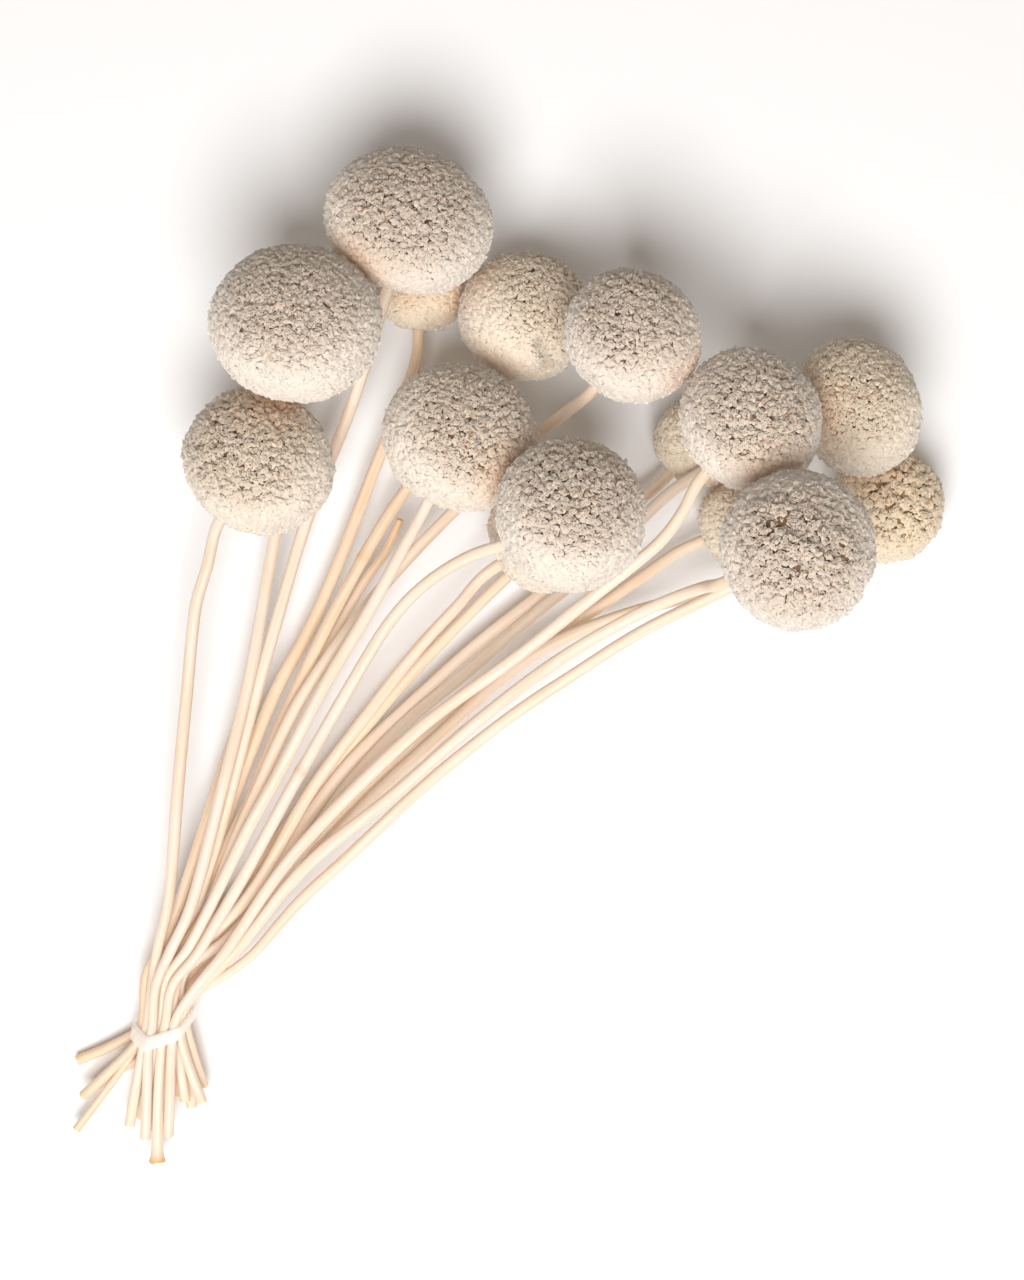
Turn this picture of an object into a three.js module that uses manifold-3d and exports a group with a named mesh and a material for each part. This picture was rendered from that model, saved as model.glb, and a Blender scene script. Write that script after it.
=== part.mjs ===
// A tied bunch of dried billy buttons (craspedia) lying on a table: fifteen round flower heads on
// long bare stems, four stems without a head, and the narrow tie that holds them near the cut ends.
//
// Millimetres, +Z up. The bunch lies along +Y with its heads at the far end. While it is laid out, the
// plan is measured from the tie; at the end the whole bunch is moved so that the middle of its
// footprint, on the table, is the origin.

import * as THREE from 'three';
import { ConvexHull } from 'three/addons/math/ConvexHull.js';
import { mergeVertices } from 'three/addons/utils/BufferGeometryUtils.js';
import Module from 'manifold-3d';

const wasm = await Module();
wasm.setup();

// ---------------------------------------------------------------- driving dimensions

const CLEARANCE = 0.3; // air left between neighbouring pieces

const STEM = {
  radius: 1.2, // at its thickest, at the cut end
  waist: 0.71, // share of that radius where the tie squeezes it
  neck: 0.88, // share of it under the head
  squeeze: 26, // length over which the tie thins a stem, to each side
  sides: 6,
  step: 7, // length of one straight stretch
  neckRun: 4, // straight run below a head
};

const FLORET = {
  pitch: 4.7, // distance from one tuft of florets to the next
  relief: 1.6, // height of a tuft above the gaps round it
  scatter: 0.25, // how unevenly the tufts stand, up and down
  drift: 0.16, // how far a tuft strays from its even place, as a share of the pitch
};

const HEAD = {
  hollow: 0.1, // how far the base is drawn in round the stem, as a share of the radius
  socket: 2.4, // how deep the stem stands in the head
};

const TIE = {
  height: 7.5, // middle of the bundle above the table
  along: 2.4, // middle of the band along the bundle; its upper side passes over y = 0
  across: 2.22, // distance between stems in a row of the bundle
  row: 1.86, // distance from one row up to the next
  lean: 0.18, // how far the bundle leans to +X at the band, for each millimetre along it
  slant: 0.33, // how far the band climbs along the bundle, for each millimetre to +X
  tilt: 0.6, // how far it climbs along the bundle, for each millimetre down
  width: 2.3,
  wall: 0.6,
  play: 0.37, // air between the band and the outermost stems
  lead: 1.2, // how far past the band's edges the stems still run straight
};

// Heads in plan (x, y from the tie), height of the middle, widest radius, where the apex points
// (heading in the plan from +X, and lean up from the table, in degrees), and how flat the globe is:
// its height along the stem as a share of its width.
const HEADS = [
  { x: 45.7, y: 147.7, z: 27, r: 15.4, heading: 71, lean: 27, flat: 0.84 },
  { x: 26.2, y: 128.2, z: 39, r: 15.3, heading: 80, lean: 52, flat: 0.82 },
  { x: 18.6, y: 104.5, z: 26.5, r: 13.9, heading: 54, lean: 30, flat: 0.92 },
  { x: 47.4, y: 137.1, z: 7.6, r: 8.5, heading: 86, lean: 5, flat: 0.96 },
  { x: 66.2, y: 131.5, z: 15.9, r: 12.2, heading: 60, lean: 12, flat: 1 },
  { x: 85.5, y: 126.1, z: 37, r: 12.5, heading: 52, lean: 35, flat: 0.93 },
  { x: 54.9, y: 109, z: 27, r: 14.2, heading: 62, lean: 35, flat: 0.92 },
  { x: 74.5, y: 94.5, z: 40.4, r: 13.8, heading: 23, lean: 45, flat: 0.93 },
  { x: 69.9, y: 91.5, z: 15.6, r: 10.8, heading: 33, lean: 17, flat: 0.95 },
  { x: 106, y: 111, z: 41.2, r: 13.1, heading: 50, lean: 30, flat: 0.93 },
  { x: 98.4, y: 108.9, z: 7.9, r: 8.4, heading: 47, lean: 8, flat: 0.97 },
  { x: 126.2, y: 114.3, z: 25.4, r: 12.8, heading: 22, lean: 12, flat: 0.91 },
  { x: 133.3, y: 97.6, z: 9.2, r: 11.1, heading: 20, lean: 5, flat: 0.96 },
  { x: 113.1, y: 87.9, z: 53.8, r: 14, heading: 24, lean: 35, flat: 0.96 },
  { x: 106.4, y: 93.8, z: 7.7, r: 8.4, heading: 23, lean: 5, flat: 0.97 },
];

// Stems, in the order of the heads, then the bare ones. Each starts at its cut end, passes the tie in
// its own place of the bundle (row from -2 to 2, place across in steps of TIE.across) and follows its
// route. A stem with a head then turns into the head's base; a bare one ends at its last point.
const STEMS = [
  {
    cut: [-3, -18.5, 4], row: 0, place: -1,
    route: [[2.5, 15, 7.5], [6.6, 24.5, 8.5], [17, 61.5, 10], [25.6, 92, 10.5], [34.2, 114, 12.5]],
  },
  {
    cut: [-3.5, -19.5, 8], row: 2, place: -1,
    route: [[2, 15.5, 12.5], [5.5, 24, 13.5], [15.2, 63.5, 12.2], [19.3, 87.5, 10], [22, 106, 10]],
  },
  {
    cut: [-6.5, -17.5, 6], row: 1, place: -1.5,
    route: [[-1, 16, 11], [1, 25, 12], [4.5, 61.5, 15], [6.9, 80, 17], [9, 86.8, 18]],
  },
  {
    cut: [-17, -6, 1.3], row: -2, place: -1,
    route: [
      [3.5, 15, 4], [7, 24.5, 5.5], [20.5, 61.5, 7], [27.3, 74.4, 7.5], [34.4, 92, 7.5], [43.9, 117, 7.5],
    ],
  },
  {
    cut: [-15, -10, 2.5], row: -1, place: -0.5,
    route: [
      [3.5, 15, 6], [8.2, 25, 7.5], [23.3, 62, 10], [34.7, 84.1, 11], [42.5, 97.4, 10.5], [52.3, 110.5, 9.5],
    ],
  },
  {
    cut: [-1, -16.5, 4.5], row: 1, place: 0.5,
    route: [
      [6, 15.5, 9.5], [10, 26.5, 10], [26, 62.5, 12.5], [45.5, 88, 13], [61.2, 103.5, 13.5], [72, 112.5, 19],
    ],
  },
  {
    cut: [-4.5, -16, 7.5], row: 1, place: -0.5,
    route: [[5.5, 15.5, 12.5], [10, 25, 13.5], [30, 63.5, 17], [42.6, 85.5, 18]],
  },
  {
    cut: [-1.5, -24, 7], row: 2, place: 0,
    route: [[7.5, 16, 14], [11.2, 22, 15], [26.3, 49, 18], [44, 78, 22], [55, 86.8, 26]],
  },
  {
    cut: [1, -14.5, 5], row: 0, place: 0,
    route: [[9.5, 15.5, 9], [16.5, 23.5, 9], [30.4, 47.5, 10], [48.5, 72, 11.5], [54.3, 78.8, 12]],
  },
  {
    cut: [0.5, -19, 9], row: 2, place: 1,
    route: [[12, 15.5, 12], [25.5, 34, 13], [44.5, 53.5, 15], [73, 75.5, 20], [92, 91.5, 25.5]],
  },
  {
    cut: [1.5, -11.5, 5], row: -1, place: 0.5,
    route: [
      [7.5, 15, 5.8], [17.5, 26.5, 6.5], [34.4, 49.1, 6.5], [55.6, 69.4, 6], [73.7, 84.8, 5], [88, 100, 5.5],
    ],
  },
  {
    cut: [3.5, -13, 6], row: 0, place: 1,
    route: [
      [9.5, 15, 7.8], [20.5, 27, 7.5], [38.5, 51.5, 7.5], [63, 73, 7], [80.5, 87.5, 8.5], [96.5, 102, 15.5],
    ],
  },
  {
    cut: [4.5, -14.5, 3], row: -1, place: 1.5,
    route: [
      [11.5, 16, 5.5], [24.5, 30, 5.5], [43.5, 49.5, 6.5],
      [69.5, 72.5, 8], [88, 80, 9.5], [103.5, 84.5, 11.5],
    ],
  },
  {
    cut: [6.8, -13, 6.5], row: 1, place: 1.5,
    route: [
      [13.5, 15.5, 11], [24, 29, 13], [45, 46.8, 18.5], [66, 64.5, 24], [87, 77.5, 30], [96.5, 81.3, 33.5],
    ],
  },
  {
    cut: [2, -12.5, 1.3], row: -2, place: 1,
    route: [[9, 15.5, 3.5], [21, 28.5, 3.8], [42.5, 49.5, 5], [73, 73.5, 6], [90, 85.3, 6.5]],
  },
  {
    cut: [-17, -18.5, 4.5], row: -1, place: -1.5,
    route: [
      [2, 15, 5.5], [6.5, 23.5, 5.5], [20, 52, 6], [30.8, 72.5, 7], [36.4, 82.7, 7.5],
      [41, 89.1, 8.5], [43.5, 94.8, 11],
    ],
  },
  {
    cut: [-3.5, -13.5, 1.3], row: -2, place: 0,
    route: [[6, 16, 3.6], [13.5, 25, 4], [40.2, 59, 5.5], [55.7, 76, 5.5], [65, 85, 5.5]],
  },
  {
    cut: [6.8, -10.5, 4], row: 0, place: 2,
    route: [
      [14.5, 12.8, 8], [25.9, 25, 8.5], [41.3, 39.3, 10], [54.5, 51.2, 12],
      [82, 70.5, 16], [103.5, 82, 20], [110.5, 85.2, 22],
    ],
  },
  {
    cut: [-15.2, -12.3, 5], row: 0, place: -2,
    route: [[0, 15, 7], [3.2, 24.5, 7], [9.3, 43, 8], [15.4, 60.5, 7]],
  },
];

// How the stems settle against each other and against the heads they pass.
const SETTLE = { rounds: 500, easing: 0.35, easedRounds: 380, margin: 0.04 };

const FLORET_COLOUR = 0xcdbfab;
const STEM_COLOUR = 0xe9cfa6;
const TIE_COLOUR = 0xf0ebe2;

// ---------------------------------------------------------------- small helpers

/** A repeatable stream of random numbers from 0 to 1 (mulberry32). */
function randomStream(seed) {
  let state = seed;
  return () => {
    state = (state + 0x6d2b79f5) | 0;
    let mixed = Math.imul(state ^ (state >>> 15), 1 | state);
    mixed = (mixed + Math.imul(mixed ^ (mixed >>> 7), 61 | mixed)) ^ mixed;
    return ((mixed ^ (mixed >>> 14)) >>> 0) / 4294967296;
  };
}

/** The way a head's apex points. */
function apexDirection({ heading, lean }) {
  const turn = THREE.MathUtils.degToRad(heading);
  const rise = THREE.MathUtils.degToRad(lean);
  return new THREE.Vector3(Math.cos(turn) * Math.cos(rise), Math.sin(turn) * Math.cos(rise), Math.sin(rise));
}

const headCentre = ({ x, y, z }) => new THREE.Vector3(x, y, z);

/** Two-digit piece number for a name. */
const numbered = (word, index) => `${word}_${String(index + 1).padStart(2, '0')}`;

/** A three.js geometry as a manifold-3d solid. */
function toSolid(geometry) {
  const bare = geometry.clone();
  bare.deleteAttribute('normal');
  bare.deleteAttribute('uv');
  const welded = mergeVertices(bare, 1e-5);
  return new wasm.Manifold(new wasm.Mesh({
    numProp: 3,
    vertProperties: new Float32Array(welded.attributes.position.array),
    triVerts: new Uint32Array(welded.index.array),
  }));
}

/** A manifold-3d solid as a three.js geometry. */
function toGeometry(solid) {
  const { vertProperties, triVerts } = solid.getMesh();
  const geometry = new THREE.BufferGeometry();
  geometry.setAttribute('position', new THREE.BufferAttribute(vertProperties, 3));
  geometry.setIndex(new THREE.BufferAttribute(triVerts, 1));
  return geometry;
}

// ---------------------------------------------------------------- flower heads

/** Points spread evenly over a unit ball by the golden angle, each strayed a little. */
function tuftDirections(count, random) {
  const goldenAngle = Math.PI * (3 - Math.sqrt(5));
  const stray = FLORET.drift * Math.sqrt((4 * Math.PI) / count);
  return Array.from({ length: count }, (_, index) => {
    const z = -1 + (2 * index + 1) / count;
    const ring = Math.sqrt(1 - z * z);
    const turn = index * goldenAngle;
    const direction = new THREE.Vector3(ring * Math.cos(turn), ring * Math.sin(turn), z);
    const shift = new THREE.Vector3(random() - 0.5, random() - 0.5, random() - 0.5);
    return direction.addScaledVector(shift, 2 * stray).normalize();
  });
}

/** Distance from a head's middle to its surface: a flattened globe, drawn in round the stem. */
function headReach(direction, head) {
  const along = direction.z / head.flat;
  const across = Math.hypot(direction.x, direction.y);
  const globe = head.r / Math.hypot(along, across);
  const nearBase = Math.max(0, -direction.z);
  return globe * (1 - HEAD.hollow * nearBase ** 6);
}

/** How far a head's base lies from its middle. */
const baseReach = (head) => headReach(new THREE.Vector3(0, 0, -1), head);

/**
 * A globe of packed floret tufts, apex at +Z. Each tuft is a pointed cushion: its tip stands out of the
 * globe, and the corners where it meets its neighbours lie in the gaps between the tufts.
 */
function tuftedGlobe(head, random) {
  const area = 4 * Math.PI * head.r * head.r;
  const count = Math.round(area / (0.866 * FLORET.pitch ** 2));
  const directions = tuftDirections(count, random);
  const tips = directions.map((direction) =>
    direction.clone().multiplyScalar(headReach(direction, head) - FLORET.scatter * 2 * random()));
  const tipOf = new Map(directions.map((direction, index) => [direction, tips[index]]));
  const hull = new ConvexHull().setFromPoints(directions);
  const gapOf = new Map(hull.faces.map((face) => {
    const middle = new THREE.Vector3();
    for (let edge = face.edge, turn = 0; turn < 3; edge = edge.next, turn += 1) middle.add(edge.head().point);
    middle.normalize();
    return [face, middle.multiplyScalar(headReach(middle, head) - FLORET.relief)];
  }));
  const corners = [];
  for (const face of hull.faces) {
    for (let edge = face.edge, turn = 0; turn < 3; edge = edge.next, turn += 1) {
      corners.push(tipOf.get(edge.tail().point), gapOf.get(edge.twin.face), gapOf.get(face));
    }
  }
  return new THREE.BufferGeometry().setFromPoints(corners);
}

/** The turn that takes +Z to a head's apex. */
function headTurn(head) {
  return new THREE.Quaternion().setFromUnitVectors(new THREE.Vector3(0, 0, 1), apexDirection(head));
}

/** One head: the tufted globe with the stem's socket bored into its base and a flat where it rests. */
function makeHead(head, index) {
  let solid = toSolid(tuftedGlobe(head, randomStream(101 + index)));
  const bore = STEM.radius * STEM.neck + CLEARANCE;
  const socket = new THREE.CylinderGeometry(bore, bore, 2 * HEAD.socket, 8);
  socket.rotateX(Math.PI / 2).translate(0, 0, -baseReach(head));
  solid = solid.subtract(toSolid(socket));
  if (head.z < head.r) {
    const table = new THREE.BoxGeometry(4 * head.r, 4 * head.r, 2 * head.r).translate(0, 0, -head.r - head.z);
    table.applyQuaternion(headTurn(head).invert());
    solid = solid.subtract(toSolid(table));
  }
  const material = new THREE.MeshStandardMaterial({ color: FLORET_COLOUR, roughness: 0.95, metalness: 0 });
  const mesh = new THREE.Mesh(toGeometry(solid), material);
  mesh.name = numbered('head', index);
  mesh.position.copy(headCentre(head));
  mesh.quaternion.copy(headTurn(head));
  return mesh;
}

// ---------------------------------------------------------------- stems

/** A stem's line as straight stretches: its points are met exactly and evenly along it. */
class StemLine extends THREE.Curve {
  constructor(points) {
    super();
    this.points = points;
  }

  getPoint(t, target = new THREE.Vector3()) {
    const place = THREE.MathUtils.clamp(t, 0, 1) * (this.points.length - 1);
    const from = Math.min(Math.floor(place), this.points.length - 2);
    return target.lerpVectors(this.points[from], this.points[from + 1], place - from);
  }

  getUtoTmapping(u) {
    return u;
  }
}

/** Where a stem crosses the middle of the slanted tie. */
function placeInTie({ row, place }) {
  const across = place * TIE.across;
  const up = row * TIE.row;
  return new THREE.Vector3(across, TIE.along + across * TIE.slant - up * TIE.tilt, TIE.height + up);
}

/** Points along part of a curve, about STEM.step apart, with both ends met. */
function evenPoints(curve, from, to) {
  const fine = Array.from({ length: 201 }, (_, index) => curve.getPoint(from + ((to - from) * index) / 200));
  const reached = [0];
  for (let index = 1; index < fine.length; index += 1) {
    reached.push(reached[index - 1] + fine[index].distanceTo(fine[index - 1]));
  }
  const total = reached[reached.length - 1];
  const stretches = Math.max(2, Math.round(total / STEM.step));
  const points = [];
  for (let count = 0, index = 1; count <= stretches; count += 1) {
    const wanted = (total * count) / stretches;
    while (index < fine.length - 1 && reached[index] < wanted) index += 1;
    const share = (wanted - reached[index - 1]) / (reached[index] - reached[index - 1]);
    points.push(new THREE.Vector3().lerpVectors(fine[index - 1], fine[index], share));
  }
  return points;
}

/** A stem's radius: thickest at the cut end, thinner to the head, and squeezed where it is tied. */
function stemRadius(along, total, fromTie) {
  const taper = THREE.MathUtils.lerp(1, STEM.neck, along / total);
  const squeezed = (1 - STEM.waist) * Math.exp(-((fromTie / STEM.squeeze) ** 2));
  return STEM.radius * taper * (1 - squeezed);
}

/** A stem as it is drawn, before it settles: from the cut end, past the tie, to its end or head. */
function draftStem(stem, index) {
  const head = HEADS[index];
  const halfTie = new THREE.Vector3(TIE.lean, 1, 0).multiplyScalar(TIE.width / 2 + TIE.lead);
  const tied = placeInTie(stem);
  const marks = [new THREE.Vector3(...stem.cut), tied.clone().sub(halfTie), tied.clone().add(halfTie)];
  for (const mark of stem.route) marks.push(new THREE.Vector3(...mark));
  if (head) {
    const apex = apexDirection(head);
    const reach = baseReach(head) - HEAD.socket + CLEARANCE;
    const end = headCentre(head).addScaledVector(apex, -reach);
    marks.push(end.clone().addScaledVector(apex, -STEM.neckRun - HEAD.socket), end);
  }
  const curve = new THREE.CatmullRomCurve3(marks, false, 'centripetal');
  const markShare = 1 / (marks.length - 1);
  const below = evenPoints(curve, 0, markShare);
  const points = [...below, ...evenPoints(curve, 2 * markShare, 1)];
  const last = points.length - 1;
  const held = new Set([below.length - 1, below.length]);
  if (head) held.add(last - 1).add(last);
  const radii = points.map((point, at) => stemRadius(at, last, point.distanceTo(tied)));
  return { points, draft: points.map((point) => point.clone()), radii, held, own: head };
}

/** Shares along two straight stretches at which they come closest. */
function closestShares(startA, endA, startB, endB) {
  const alongA = endA.clone().sub(startA);
  const alongB = endB.clone().sub(startB);
  const between = startA.clone().sub(startB);
  const a = alongA.dot(alongA);
  const b = alongA.dot(alongB);
  const c = alongB.dot(alongB);
  const d = alongA.dot(between);
  const e = alongB.dot(between);
  const clamp = THREE.MathUtils.clamp;
  const slant = a * c - b * b;
  let shareA = slant > 1e-9 ? clamp((b * e - c * d) / slant, 0, 1) : 0.5;
  const shareB = clamp((b * shareA + e) / c, 0, 1);
  shareA = clamp((b * shareB - d) / a, 0, 1);
  return [shareA, shareB];
}

/** Moves one stretch of a stem, at a share along it, by a shift; held points stay. */
function shiftStretch(stem, at, share, shift) {
  const weight = (1 - share) ** 2 + share ** 2;
  if (!stem.held.has(at)) stem.points[at].addScaledVector(shift, (1 - share) / weight);
  if (!stem.held.has(at + 1)) stem.points[at + 1].addScaledVector(shift, share / weight);
}

/** Parts two stretches of different stems that are closer than their thickness and the clearance. */
function partStretches(stemA, atA, stemB, atB) {
  const [startA, endA] = [stemA.points[atA], stemA.points[atA + 1]];
  const [startB, endB] = [stemB.points[atB], stemB.points[atB + 1]];
  const [shareA, shareB] = closestShares(startA, endA, startB, endB);
  const apart = startA.clone().lerp(endA, shareA).sub(startB.clone().lerp(endB, shareB));
  const needed = CLEARANCE + SETTLE.margin
    + THREE.MathUtils.lerp(stemA.radii[atA], stemA.radii[atA + 1], shareA)
    + THREE.MathUtils.lerp(stemB.radii[atB], stemB.radii[atB + 1], shareB);
  const distance = apart.length();
  if (distance >= needed) return;
  const shift = apart.multiplyScalar((needed - distance) / (2 * Math.max(distance, 1e-6)));
  shiftStretch(stemA, atA, shareA, shift);
  shiftStretch(stemB, atB, shareB, shift.negate());
}

/** Moves a stem's stretch clear of a head that it passes. */
function clearHead(stem, at, head) {
  const [start, end] = [stem.points[at], stem.points[at + 1]];
  const middle = headCentre(head);
  const along = end.clone().sub(start);
  const share = THREE.MathUtils.clamp(middle.clone().sub(start).dot(along) / along.lengthSq(), 0, 1);
  const apart = start.clone().addScaledVector(along, share).sub(middle);
  const needed = head.r + STEM.radius + CLEARANCE;
  const distance = apart.length();
  if (distance < needed) shiftStretch(stem, at, share, apart.multiplyScalar((needed - distance) / distance));
}

/** Spreads each point's move from its draft place to its neighbours, so that the stem stays a smooth bow. */
function easeStem(stem) {
  const moves = stem.points.map((point, at) => point.clone().sub(stem.draft[at]));
  const last = moves.length - 1;
  moves.forEach((move, at) => {
    if (stem.held.has(at)) return;
    const before = moves[Math.max(at - 1, 0)];
    const after = moves[Math.min(at + 1, last)];
    const even = before.clone().add(after).multiplyScalar(0.5);
    stem.points[at].copy(stem.draft[at]).add(move.clone().lerp(even, SETTLE.easing));
  });
}

/** Lets the stems settle until they lie clear of each other, of the heads and of the table. */
function settle(stems) {
  const reach = STEM.step + 2 * STEM.radius + CLEARANCE;
  for (let round = 0; round < SETTLE.rounds; round += 1) {
    const middles = stems.map(({ points }) =>
      points.slice(1).map((point, at) => point.clone().add(points[at]).multiplyScalar(0.5)));
    for (let a = 0; a < stems.length; a += 1) {
      for (let b = a + 1; b < stems.length; b += 1) {
        for (let atA = 0; atA < middles[a].length; atA += 1) {
          for (let atB = 0; atB < middles[b].length; atB += 1) {
            if (middles[a][atA].distanceToSquared(middles[b][atB]) < reach * reach) {
              partStretches(stems[a], atA, stems[b], atB);
            }
          }
        }
      }
    }
    for (const stem of stems) {
      for (const head of HEADS) {
        if (head === stem.own) continue;
        for (let at = 0; at < stem.points.length - 1; at += 1) clearHead(stem, at, head);
      }
      stem.points.forEach((point, at) => {
        if (!stem.held.has(at)) point.z = Math.max(point.z, stem.radii[at] + SETTLE.margin);
      });
      if (round < SETTLE.easedRounds) easeStem(stem);
    }
  }
}

/** One settled stem as a tapered bar along its line. */
function makeStem({ points, radii }, index) {
  const section = new THREE.Shape(Array.from({ length: STEM.sides }, (_, corner) => {
    const turn = (2 * Math.PI * corner) / STEM.sides;
    return new THREE.Vector2(STEM.radius * Math.cos(turn), STEM.radius * Math.sin(turn));
  }));
  const geometry = new THREE.ExtrudeGeometry(section, {
    steps: points.length - 1,
    extrudePath: new StemLine(points),
  });
  const corners = geometry.attributes.position;
  const corner = new THREE.Vector3();
  for (let at = 0; at < corners.count; at += 1) {
    corner.fromBufferAttribute(corners, at);
    const distances = points.map((point) => point.distanceToSquared(corner));
    const nearest = distances.indexOf(Math.min(...distances));
    corner.sub(points[nearest]).multiplyScalar(radii[nearest] / STEM.radius).add(points[nearest]);
    corners.setXYZ(at, corner.x, corner.y, corner.z);
  }
  const material = new THREE.MeshStandardMaterial({ color: STEM_COLOUR, roughness: 0.8, metalness: 0 });
  const mesh = new THREE.Mesh(geometry, material);
  mesh.name = numbered('stem', index);
  return mesh;
}

// ---------------------------------------------------------------- tie

/** The bundle's outline, a hexagon with round corners, at a distance from the outer stems' middles. */
function bundleOutline(OutlineClass, distance) {
  const corners = [[2, 0], [1, 2], [-1, 2], [-2, 0], [-1, -2], [1, -2]]
    .map(([place, row]) => new THREE.Vector2(place * TIE.across, row * TIE.row));
  const outwards = corners.map((corner, at) =>
    corners[(at + 1) % corners.length].clone().sub(corner).angle() - Math.PI / 2);
  const outline = new OutlineClass();
  corners.forEach((corner, at) => {
    const before = outwards[(at + corners.length - 1) % corners.length];
    outline.absarc(corner.x, corner.y, distance, before, outwards[at], false);
  });
  return outline;
}

/** The narrow band round the bundle, slanted, with its walls along the leaning stems. */
function makeTie() {
  const inner = STEM.radius * STEM.waist + TIE.play;
  const outline = bundleOutline(THREE.Shape, inner + TIE.wall);
  outline.holes.push(bundleOutline(THREE.Path, inner));
  const geometry = new THREE.ExtrudeGeometry(outline, {
    depth: TIE.width,
    curveSegments: 3,
    bevelEnabled: false,
  });
  geometry.translate(0, 0, -TIE.width / 2).rotateX(Math.PI / 2);
  geometry.applyMatrix4(new THREE.Matrix4().makeShear(TIE.slant, 0, TIE.lean, 0, 0, -TIE.tilt));
  const material = new THREE.MeshStandardMaterial({ color: TIE_COLOUR, roughness: 0.35, metalness: 0 });
  const mesh = new THREE.Mesh(geometry, material);
  mesh.name = 'tie_band';
  mesh.position.set(0, TIE.along, TIE.height);
  return mesh;
}

// ---------------------------------------------------------------- the bunch

const stems = STEMS.map(draftStem);
settle(stems);

const bunch = new THREE.Group();
bunch.add(...HEADS.map(makeHead), ...stems.map(makeStem), makeTie());
bunch.updateMatrixWorld(true);
const bounds = new THREE.Box3().setFromObject(bunch, true);
const middle = bounds.getCenter(new THREE.Vector3());
bunch.position.set(-middle.x, -middle.y, -bounds.min.z);

const billyButtons = new THREE.Group();
billyButtons.add(bunch);

export default billyButtons;
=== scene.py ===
"""Dresses the bunch of dried billy buttons: florets, ribbed stems, the band and a pale studio.

Everything is in metres, +Z up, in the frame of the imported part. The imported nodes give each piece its
place; the classes below model the finer piece that takes its turn there.
"""

import logging
import math
from dataclasses import dataclass, field
from enum import Enum
from typing import Any, Callable, Iterable

import bmesh
import bpy
import numpy as np
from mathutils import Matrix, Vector
from mathutils.kdtree import KDTree


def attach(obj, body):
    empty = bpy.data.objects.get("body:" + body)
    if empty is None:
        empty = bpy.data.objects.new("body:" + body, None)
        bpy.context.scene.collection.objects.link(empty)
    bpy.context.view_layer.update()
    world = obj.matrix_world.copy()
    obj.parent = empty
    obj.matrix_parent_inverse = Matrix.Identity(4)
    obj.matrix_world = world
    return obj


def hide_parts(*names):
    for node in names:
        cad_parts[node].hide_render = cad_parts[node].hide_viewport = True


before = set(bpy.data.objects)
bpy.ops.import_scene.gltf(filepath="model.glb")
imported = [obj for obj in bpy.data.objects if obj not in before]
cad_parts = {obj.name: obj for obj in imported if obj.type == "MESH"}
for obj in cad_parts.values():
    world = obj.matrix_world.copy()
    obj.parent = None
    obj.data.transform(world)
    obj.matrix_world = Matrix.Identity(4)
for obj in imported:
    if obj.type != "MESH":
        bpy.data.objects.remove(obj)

log = logging.getLogger("billy_buttons")

MM = 0.001
BODY = "root"

# The head as the part has it: a flattened globe, drawn in round its stem.
HEAD_HOLLOW = 0.1  # how far the base is drawn in, as a share of the radius
HOLLOW_POWER = 6  # how closely round the stem
HEAD_SEAT = 2.1 * MM  # how far inside the base a stem ends

RING_SPAN = 2.5 * MM  # the cross-sections of packed stems are smaller than this
MERGE = 1e-6  # vertices nearer than this are one
GOLDEN_ANGLE = math.pi * (3 - math.sqrt(5))
CELL = 0.866  # area of each place of an even lattice, in squares of its pitch

# Each head and stem draws from a generator seeded with its number and one of these.
FLORET_SEED = 500
STEM_SEED = 900

# Places of a Mix node's sockets for colours.
MIX_SHARE, MIX_FIRST, MIX_SECOND = 0, 6, 7
MIX_RESULT = 2

Colour = tuple[float, float, float, float]


def paint(red: int, green: int, blue: int) -> Colour:
    """A colour as it is seen, in 0 to 255, as the linear colour that a shader takes."""
    seen = np.array([red, green, blue]) / 255
    linear = np.where(seen <= 0.04045, seen / 12.92, ((seen + 0.055) / 1.055) ** 2.4)
    return (*(float(part) for part in linear), 1.0)


# --- materials


class Wire:
    """One output of a node tree; arithmetic on it adds Math nodes."""

    def __init__(self, sheet: "Sheet", socket: bpy.types.NodeSocket) -> None:
        """Keeps the sheet and the socket that the value comes from."""
        self.sheet = sheet
        self.socket = socket

    def _math(self, operation: str, first: Any, second: Any) -> "Wire":
        """Adds one Math node for an operation on two values."""
        return self.sheet.add("ShaderNodeMath", {"operation": operation}, {0: first, 1: second})

    def __add__(self, other: Any) -> "Wire":
        """This value plus another."""
        return self._math("ADD", self, other)

    def __mul__(self, other: Any) -> "Wire":
        """This value times another."""
        return self._math("MULTIPLY", self, other)

    __radd__ = __add__
    __rmul__ = __mul__

    def between(self, low: float, high: float) -> "Wire":
        """A smooth step of this value from 0 at low to 1 at high."""
        settings = {"interpolation_type": "SMOOTHSTEP"}
        return self.sheet.add("ShaderNodeMapRange", settings, {0: self, 1: low, 2: high})


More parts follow.
